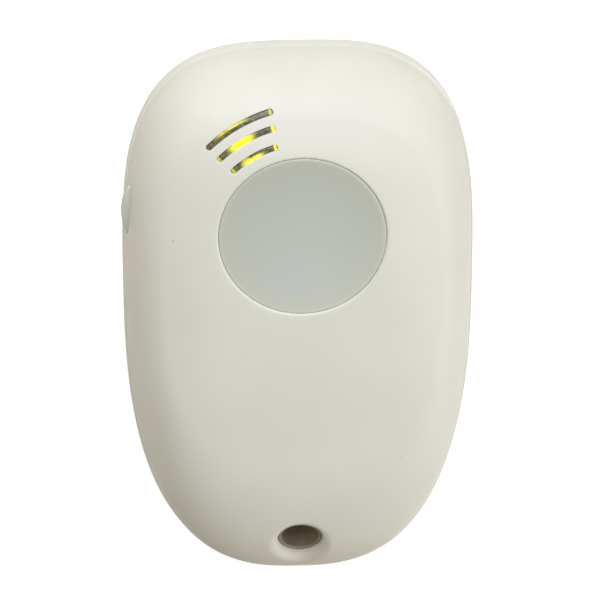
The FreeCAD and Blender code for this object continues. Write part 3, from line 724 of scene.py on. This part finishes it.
def front_additions(case, holes, fix, outer):
    """Sleeve of the lanyard hole, screw bosses and the pad round the side key's opening."""
    _x, hole_y, _z = HOLE_MOUNT["pos_m"]
    half_wall = case.wall / 2
    sleeve = hole_radius(holes) + holes.sleeve_wall
    added = [standing(outer, 0.0, hole_y, sleeve, holes.sleeve_recess, half_wall)]
    added += [standing(outer, x, y, fix.boss_radius, case.seam_z, half_wall) for x, y in screw_places(fix)]
    keys = bpy.context.scene.pendant_keys
    ring, _ways = oval(keys.key_length / 2 + holes.key_pad_margin, keys.key_height / 2 + holes.key_pad_margin, 96)
    y, z = key_centre().y + ring[:, 0], key_centre().z + ring[:, 1]
    wall = -outer.side_x(y, z) + half_wall
    added.append(solid(np.stack([np.column_stack([wall, y, z]),
                                 np.column_stack([np.full(len(y), -holes.key_pad_x), y, z])])))
    return added


def hole_radius(holes):
    """Radius of the cover's own hole round the liner."""
    return HOLE_MOUNT["dims"]["r_mm"] * mm + holes.liner_wall


def front_cuts(case, holes, fix, outer):
    """Arc slots, lanyard hole with its flares, key opening and the screws' pilots."""
    cuts = [arc_solid(holes, outer, *arc) for arc in zip(holes.arc_radii, holes.arc_middles, holes.arc_halves)]
    cuts.append(hole_solid(case, holes, outer))
    keys = bpy.context.scene.pendant_keys
    ring, ways = oval(keys.key_length / 2 + holes.key_gap, keys.key_height / 2 + holes.key_gap, 128)
    edge = 0.08 * mm
    rows = []
    for b in np.radians(np.linspace(0, 90, 5)):
        flat = ring + ways * edge * (1 - math.sin(b))
        y, z = key_centre().y + flat[:, 0], key_centre().z + flat[:, 1]
        rows.append(np.column_stack([-outer.side_x(y, z) + edge * (1 - math.cos(b)), y, z]))
    rows.insert(0, np.column_stack([np.full(len(ring), -case.width / 2 - mm), rows[0][:, 1:]]))
    rows.append(np.column_stack([np.full(len(ring), -holes.key_pad_x + mm), rows[-1][:, 1:]]))
    cuts.append(solid(np.stack(rows)))
    for x, y in screw_places(fix):
        cuts.append(solid(turned([(fix.pilot_radius, case.seam_z - mm), (fix.pilot_radius, fix.pilot_top)], x, y, 32)))
    return cuts


def arc_solid(holes, outer, radius, middle, half_angle):
    """Cutter of one slot: a band along the arc with round ends, whose sides flare into the surface along a
    quarter circle and follow its height."""
    centre = button_centre()
    half = holes.arc_width / 2
    ring, ways = capsule(radius * half_angle + half, half, 160)
    rows = []
    for b in np.radians(np.linspace(90, 0, 6)):
        flat = ring + ways * holes.arc_round * (1 - math.sin(b))
        a = middle - flat[:, 0] / radius
        r = radius + flat[:, 1]
        x, y = r * np.cos(a), centre.y + r * np.sin(a)
        rows.append(np.column_stack([x, y, outer.height(x, y) - holes.arc_round * (1 - math.cos(b))]))
    top = rows[-1].copy()
    top[:, 2] = outer.z_high + mm
    low = rows[0].copy()
    low[:, 2] = GUIDE_LOW - 0.5 * mm
    return solid(np.stack([low] + rows + [top]))


def hole_solid(case, holes, outer):
    """Cutter of the lanyard hole. Its front rim is a ball's path: in each upright plane through the axis a
    circle touches the wall and the surface, whose slope is read where it touches."""
    _x, hole_y, _z = HOLE_MOUNT["pos_m"]
    radius, ball = hole_radius(holes), holes.flare
    columns = 120
    t = 2 * math.pi * np.arange(columns) / columns

    def surface(r):
        return outer.height(r * np.cos(t), hole_y + r * np.sin(t))

    step = 0.02 * mm
    touch = np.full(columns, radius + ball)
    for _ in range(6):
        slope = (surface(touch + step) - surface(touch - step)) / (2 * step)
        lean = np.sqrt(1 + slope * slope)
        middle_z = surface(touch) + slope * (radius + ball - touch) - ball * lean
        touch = radius + ball - ball * slope / lean
    end = np.arctan2(1.0, -slope)
    angle = math.pi + (end - math.pi) * np.linspace(0, 1, 14)[:, None]
    r = radius + ball + ball * np.cos(angle)
    z = middle_z + ball * np.sin(angle)
    front = np.stack([r * np.cos(t), hole_y + r * np.sin(t), z], axis=-1)
    top = front[-1:].copy()
    top[..., 2] = case.height + mm
    back = holes.back_flare
    low = [(radius + back, -mm), (radius + back, holes.sleeve_recess)]
    low += [tuple(p) for p in corner(radius + back, holes.sleeve_recess + back, back, 270, 180, 6)[1:]]
    return solid(np.concatenate([turned(low, 0.0, hole_y, columns), front, top]))


class PENDANT_OT_rear_cover(bpy.types.Operator):
    """Make the shallow rear cover with its tongue, pillars, posts and screw recesses."""
    bl_idname = "pendant.rear_cover"
    bl_label = "Rear cover"

    def execute(self, context):
        case, holes, fix = context.scene.pendant_case, context.scene.pendant_openings, context.scene.pendant_fixings

        def ring(inset, z):
            return case_ring(case, inset, z)

        turn = np.radians(np.linspace(0, 90, 15))
        rows = [ring(case.back_round + 4 * mm, 0.0)]
        rows += [ring(case.back_round * (1 - math.sin(a)), case.back_round * (1 - math.cos(a))) for a in turn]
        edge = 0.12 * mm
        inner = case.tongue_inset + case.tongue_thick
        tongue_z = case.seam_z + case.tongue_height
        rows += [ring(0, case.seam_z - edge), ring(edge * 0.3, case.seam_z - edge * 0.3), ring(edge, case.seam_z),
                 ring(case.tongue_inset, case.seam_z), ring(case.tongue_inset, tongue_z), ring(inner, tongue_z),
                 ring(inner, case.wall), ring(inner + 6 * mm, case.wall)]
        cover = new_piece("rear_shell", *solid(np.concatenate(rows)))
        _x, hole_y, _z = HOLE_MOUNT["pos_m"]
        sleeve = hole_radius(holes) + holes.sleeve_wall + holes.sleeve_gap
        floor = case.wall / 2
        added = [solid(turned([(sleeve + fix.boss_wall, floor), (sleeve + fix.boss_wall, fix.boss_top)], 0, hole_y))]
        posts = ((8 * mm, 26.5 * mm), (-8 * mm, 26.5 * mm), (0.0, -17.5 * mm))
        added += [solid(turned([(fix.pillar_radius, floor), (fix.pillar_radius, case.seam_z)], x, y))
                  for x, y in screw_places(fix)]
        added += [solid(turned([(fix.post_radius, floor), (fix.post_radius, fix.post_top)], x, y)) for x, y in posts]
        combine(cover, *joined(added), "UNION")
        rim = 0.15 * mm
        cuts = [solid(turned([(sleeve + rim + mm, -mm), (sleeve + rim, 0), (sleeve, rim), (sleeve, fix.seat_low),
                              (fix.seat_radius, fix.seat_low), (fix.seat_radius, fix.boss_top + mm)], 0, hole_y, 96))]
        for x, y in screw_places(fix):
            wide = fix.recess_radius + fix.recess_bevel
            cuts.append(solid(turned([(wide + mm, -mm), (wide, 0), (fix.recess_radius, fix.recess_bevel),
                                      (fix.recess_radius, fix.recess_depth), (fix.through_radius, fix.recess_depth),
                                      (fix.through_radius, case.seam_z + mm)], x, y, 64)))
        cuts += [solid(turned([(fix.post_pilot, fix.post_pilot_low), (fix.post_pilot, fix.post_top + mm)], x, y, 32))
                 for x, y in posts]
        combine(cover, *joined(cuts), "DIFFERENCE")
        finish_piece(cover, "root", case_finish(), ["rear_cover"])
        return {"FINISHED"}


class PENDANT_OT_main_button(bpy.types.Operator):
    """Make the round dished button with its skirt, flange and pusher."""
    bl_idname = "pendant.main_button"
    bl_label = "Main button"

    def execute(self, context):
        keys = context.scene.pendant_keys
        centre = button_centre()
        radius, top = keys.button_radius, BUTTON_HIGH.z
        flange_radius = (BUTTON_HIGH.x - BUTTON_LOW.x) / 2
        flange_low = context.scene.pendant_case.height - context.scene.pendant_case.wall \
            - context.scene.pendant_openings.collar_depth - 0.1 * mm - keys.flange_thick
        r = np.linspace(0.01, 1, 60) * (radius - keys.button_round)
        dish_low = top - keys.button_dish
        dish = np.column_stack([r, dish_low + keys.button_dish * (r / radius) ** 2])
        slope = math.atan2(2 * keys.button_dish * r[-1], radius * radius)
        edge = corner(r[-1], dish[-1, 1] - keys.button_round, keys.button_round, 90 + math.degrees(slope), 0, 8)[1:]
        under = dish_low - keys.button_wall
        skirt = radius - keys.button_skirt
        flange_top = flange_low + keys.flange_thick
        pusher_low = BUTTON_LOW.z + 0.02 * mm
        bevel = 0.1 * mm
        rest = [(radius, flange_top + 2 * bevel), (radius, flange_top), (flange_radius - bevel, flange_top),
                (flange_radius, flange_top - bevel), (flange_radius, flange_low + bevel),
                (flange_radius - bevel, flange_low), (skirt, flange_low), (skirt, under),
                (keys.pusher_radius, under), (keys.pusher_radius, pusher_low), (0.01 * radius, pusher_low)]
        profile = np.concatenate([dish, edge, np.array(rest)])
        cap = new_piece("button_cap", *solid(turned(profile, centre.x, centre.y, 256)))
        finish_piece(cap, "main_button", cap_material(centre.y), ["main_button"])
        return {"FINISHED"}


class PENDANT_OT_side_key(bpy.types.Operator):
    """Make the long rounded side key with its bulging face and lip."""
    bl_idname = "pendant.side_key"
    bl_label = "Side key"

    def execute(self, context):
        keys = context.scene.pendant_keys
        centre = key_centre()
        ring, ways = oval(keys.key_length / 2, keys.key_height / 2, 160)

        def face(flat):
            away = keys.key_face_radius - np.sqrt(keys.key_face_radius ** 2 - flat[:, 0] ** 2)
            return KEY_LOW.x + keys.key_set_back + away

        rows = []
        inner = ring - ways * keys.key_round
        for f in np.linspace(0.02, 1, 14):
            flat = inner * f
            rows.append(np.column_stack([face(flat), centre.y + flat[:, 0], centre.z + flat[:, 1]]))
        for b in np.radians(np.linspace(0, 90, 7)[1:]):
            flat = inner + ways * keys.key_round * math.sin(b)
            rows.append(np.column_stack([face(flat) + keys.key_round * (1 - math.cos(b)),
                                         centre.y + flat[:, 0], centre.z + flat[:, 1]]))
        lip_x = KEY_HIGH.x - keys.key_lip_thick
        lip = ring + ways * keys.key_lip

        def level(flat, x):
            return np.column_stack([np.full(len(flat), x), centre.y + flat[:, 0], centre.z + flat[:, 1]])

        rows += [level(ring, lip_x), level(lip, lip_x), level(lip, KEY_HIGH.x), level(lip * 0.05, KEY_HIGH.x)]
        key = new_piece("key_cap", *solid(np.stack(rows)))
        finish_piece(key, "side_button", key_material(), ["side_button"])
        return {"FINISHED"}


class PENDANT_OT_light_guide(bpy.types.Operator):
    """Make the light guide's three ribs, each reaching down to the guide's foot, with the painted glow that each point
    shows.
    """
    bl_idname = "pendant.light_guide"
    bl_label = "Light guide"

    def execute(self, context):
        holes = context.scene.pendant_openings
        centre = button_centre()
        case = context.scene.pendant_case
        lowered = Dome(case, centre.y, case.rim_ledge, case.height - holes.guide_recess, case.falls)
        half = holes.arc_width / 2 - holes.rib_gap
        pieces, glow = [], []
        # Painted glow patches along the ribs, standing in for the LED's light.
        # rib, place and spread along it from -1 to 1, side (-1 inner, 1 outer, 0 all), edge on that side, strength
        painted_glow_patches = ((1, -0.12, 0.45, 0, 0, 1.0), (1, 1.03, 0.06, 0, 0, 0.9), (1, -1.04, 0.06, 0, 0, 0.5),
                   (0, -0.05, 0.52, -1, 0, 0.95), (0, -0.35, 0.2, 0, 0, 0.45), (0, 1.03, 0.06, 0, 0, 0.9),
                   (0, -1.03, 0.07, 0, 0, 0.45), (2, 1.0, 0.035, 0, 0, 0.5), (2, -0.2, 0.5, 1, 0.35, 0.75))
        for k, (radius, middle, half_angle) in enumerate(zip(holes.arc_radii, holes.arc_middles, holes.arc_halves)):
            ring, _ways = capsule(radius * half_angle + half, half, 160)
            rows = []
            across = []
            for shrink, drop in ((0.0, None), (0.0, 0.12 * mm), (0.2, 0.03 * mm), (0.5, 0.0), (0.75, 0.0), (0.98, 0.0)):
                across.append(ring[:, 1] / half * (1 - shrink))
                a = middle - ring[:, 0] / radius
                r = radius + ring[:, 1] * (1 - shrink)
                x, y = r * np.cos(a), centre.y + r * np.sin(a)
                z = np.full(len(a), GUIDE_LOW) if drop is None else lowered.height(x, y) - drop
                rows.append(np.column_stack([x, y, z]))
            pieces.append(solid(np.stack(rows)))
            along = np.tile(ring[:, 0] / (radius * half_angle), len(rows))
            lit = np.zeros(len(along))
            for rib, place, spread, side, edge, strength in painted_glow_patches:
                if rib == k:
                    near = np.exp(-((along - place) / spread) ** 4)
                    kept = 1.0 if side == 0 else 1 / (1 + np.exp(8 * (edge - side * np.concatenate(across))))
                    lit = np.maximum(lit, strength * near * kept)
            glow.append(lit)
        guide = new_piece("guide_ribs", *joined(pieces))
        attribute = guide.data.attributes.new("glow", "FLOAT", "POINT")
        attribute.data.foreach_set("value", np.concatenate(glow))
        finish_piece(guide, "root", guide_material(), ["light_guide"])
        return {"FINISHED"}


class PENDANT_OT_hole_liner(bpy.types.Operator):
    """Make the lanyard hole's liner, dark brown with painted shade and paler low down with painted light."""
    bl_idname = "pendant.hole_liner"
    bl_label = "Hole liner"

    def execute(self, context):
        holes = context.scene.pendant_openings
        _x, hole_y, _z = HOLE_MOUNT["pos_m"]
        inside = HOLE_MOUNT["dims"]["r_mm"] * mm
        outside = hole_radius(holes) - holes.liner_gap
        edge = 0.1 * mm
        mesh = frame["nodes"]["hole_liner"].data
        points = np.empty(len(mesh.vertices) * 3)
        mesh.vertices.foreach_get("co", points)
        points = points.reshape(-1, 3)
        y = points[:, 1] - hole_y
        near_z = points[y < -outside * 0.98][:, 2].max()
        far_z = points[y > outside * 0.98][:, 2].max()
        rows = turned([(inside, LINER_LOW + edge), (inside + edge, LINER_LOW), (outside - edge, LINER_LOW),
                       (outside, LINER_LOW + edge), (outside, 0), (outside - edge, 1), (inside + edge, 1), (inside, 0)],
                      0.0, hole_y, 96)
        slant = near_z + (far_z - near_z) * (rows[..., 1] - hole_y + outside) / (2 * outside)
        for index, drop in ((4, edge), (5, 0.0), (6, 0.0), (7, edge)):
            rows[index, :, 2] = slant[index] - drop
        liner = new_piece("liner_tube", *solid(rows, closed=True))
        finish_piece(liner, "root", rubber_material("liner_rubber", context.scene.pendant_finish.liner, 6 * mm),
                     ["hole_liner"])
        return {"FINISHED"}


class PENDANT_OT_inner_finishes(bpy.types.Operator):
    """Give the pieces that stay as packed their finishes."""
    bl_idname = "pendant.inner_finishes"
    bl_label = "Inner finishes"

    def execute(self, context):
        seal = rubber_material("seal_rubber", (0.05, 0.05, 0.05))
        silicone = rubber_material("pad_silicone", (0.6, 0.6, 0.58))
        steel = metal_material("screw_steel", (0.62, 0.62, 0.62), 0.3, (1, 1, 0.1))
        sheet = metal_material("sheet_steel", (0.66, 0.66, 0.64), 0.32, (0.08, 1, 1))
        brass = metal_material("contact_brass", (0.78, 0.62, 0.3), 0.3, (1, 0.1, 1))
        black = moulded_material("switch_plastic", (0.03, 0.03, 0.03), 0.45)
        resin = moulded_material("led_resin", (0.9, 0.85, 0.3), 0.2)
        ceramic = moulded_material("chip_ceramic", (0.45, 0.33, 0.2), 0.5)
        board = board_material()
        finishes = {"case_seal": seal, "sleeve_seal": seal, "case_screws": steel, "button_pad": silicone,
                    "circuit_board": board, "board_screws": steel, "main_switch_base": black,
                    "main_switch_cover": sheet, "main_switch_plunger": black, "side_switch_base": black,
                    "side_switch_plunger": black, "indicator_led": resin, "radio_chip": black,
                    "resonator_can": sheet, "antenna": brass, "chip_capacitors": ceramic,
                    "chip_resistors": black, "coin_cell": sheet, "cell_clip": sheet, "cell_contact": brass}
        for name, material in finishes.items():
            node = frame["nodes"][name]
            for slot in node.material_slots:
                slot.material = material
        return {"FINISHED"}


class PENDANT_OT_stage(bpy.types.Operator):
    """Set up the camera, the lamps, the floor and the background."""
    bl_idname = "pendant.stage"
    bl_label = "Stage"

    def execute(self, context):
        place_camera(context)
        place_floor(context)
        place_lamps(context)
        context.scene.view_settings.view_transform = "Standard"
        return {"FINISHED"}


def place_camera(context):
    """Camera on a line from the target that leans to the upper end and slightly to the left."""
    stage = context.scene.pendant_stage
    out = Vector((-math.sin(stage.turn) * math.cos(stage.tilt), math.sin(stage.tilt),
                  math.cos(stage.turn) * math.cos(stage.tilt)))
    right = Vector((0, 1, 0)).cross(out).normalized()
    up = out.cross(right)
    turned_right = right * math.cos(stage.roll) + up * math.sin(stage.roll)
    turned_up = up * math.cos(stage.roll) - right * math.sin(stage.roll)
    place = Vector(stage.target) + out * stage.distance + turned_up * stage.aim_up + turned_right * stage.aim_right
    data = bpy.data.cameras.new("photo_camera")
    data.lens, data.sensor_width, data.clip_start = stage.lens, 36.0, 0.01
    camera = bpy.data.objects.new("photo_camera", data)
    context.scene.collection.objects.link(camera)
    camera.matrix_world = Matrix.Translation(place) @ Matrix((turned_right, turned_up, out)).transposed().to_4x4()
    context.scene.camera = camera


def place_floor(context):
    """Plain white floor that keeps a soft shadow, and a world that fills warmly and looks white."""
    half = 1.5
    t = np.array([[-half, -half, 0], [half, -half, 0], [half, half, 0], [-half, half, 0]])
    mesh = bpy.data.meshes.new("floor")
    mesh.from_pydata(t.tolist(), [], [[0, 1, 2, 3]])
    floor = bpy.data.objects.new("floor", mesh)
    context.scene.collection.objects.link(floor)
    n = Nodes("floor_white")
    bounce = n.add("BsdfDiffuse", {"Color": rgba((0.58, 0.52, 0.41))})
    diffuse = n.add("BsdfDiffuse", {"Color": rgba((0.8, 0.8, 0.8))})
    glow = n.add("Emission", {"Color": rgba((1, 1, 1)), "Strength": 0.7})
    both = n.add("AddShader", {0: diffuse.outputs[0], 1: glow.outputs[0]})
    mesh.materials.append(n.show(n.add("MixShader", {0: n.seen(), 1: bounce.outputs[0], 2: both.outputs[0]})))
    n = Nodes("studio", bpy.data.worlds.new("studio"))
    fill = n.add("Background", {"Color": rgba((1, 0.93, 0.72)), "Strength": 0.28})
    white = n.add("Background", {"Color": rgba((1, 1, 1)), "Strength": 1.0})
    context.scene.world = n.show(n.add("MixShader", {0: n.seen(), 1: fill.outputs[0], 2: white.outputs[0]}))


def place_lamps(context):
    """Large soft key lamp beyond the upper end, a dim one beside it and a low one on the right."""
    for name, place, tone, across, power in (("key_lamp", (-0.08, 0.466, 0.369), (0.875, 0.89, 0.99), 0.5, 3.5),
                                             ("corner_lamp", (0.273, 0.273, 0.46), (0.6, 0.76, 1), 0.3, 0.5),
                                             ("side_lamp", (0.5, -0.265, 0.205), (0.96, 0.95, 1), 0.3, 1.65)):
        data = bpy.data.lights.new(name, "AREA")
        data.size, data.energy, data.color = across, power, tone
        lamp = bpy.data.objects.new(name, data)
        lamp.matrix_world = Matrix.Translation(place) @ Vector(place).to_track_quat("Z", "Y").to_matrix().to_4x4()
        context.scene.collection.objects.link(lamp)


PIECE_OPERATORS = (PENDANT_OT_front_cover, PENDANT_OT_rear_cover, PENDANT_OT_main_button, PENDANT_OT_side_key,
                   PENDANT_OT_light_guide, PENDANT_OT_hole_liner, PENDANT_OT_inner_finishes, PENDANT_OT_stage)
GROUPS = {"pendant_case": PendantCase, "pendant_openings": PendantOpenings, "pendant_keys": PendantKeys,
          "pendant_fixings": PendantFixings, "pendant_finish": PendantFinish, "pendant_stage": PendantStage}


class PENDANT_PT_panel(bpy.types.Panel):
    """Lists the pendant's operators."""
    bl_label = "Pendant"
    bl_idname = "PENDANT_PT_panel"
    bl_space_type = "VIEW_3D"
    bl_region_type = "UI"
    bl_category = "Pendant"

    def draw(self, context):
        for operator in PIECE_OPERATORS:
            self.layout.operator(operator.bl_idname)


def register():
    """Adds the classes and the scene's property groups."""
    for group in GROUPS.values():
        bpy.utils.register_class(group)
    for operator in PIECE_OPERATORS:
        bpy.utils.register_class(operator)
    bpy.utils.register_class(PENDANT_PT_panel)
    for name, group in GROUPS.items():
        setattr(bpy.types.Scene, name, PointerProperty(type=group))


def unregister():
    """Takes them away again."""
    for name in GROUPS:
        delattr(bpy.types.Scene, name)
    bpy.utils.unregister_class(PENDANT_PT_panel)
    for operator in reversed(PIECE_OPERATORS):
        bpy.utils.unregister_class(operator)
    for group in reversed(list(GROUPS.values())):
        bpy.utils.unregister_class(group)


def main():
    """Builds the pendant and its stage."""
    register()
    for operator in PIECE_OPERATORS:
        group, name = operator.bl_idname.split(".")
        getattr(getattr(bpy.ops, group), name)()


if __name__ == "__main__":
    main()
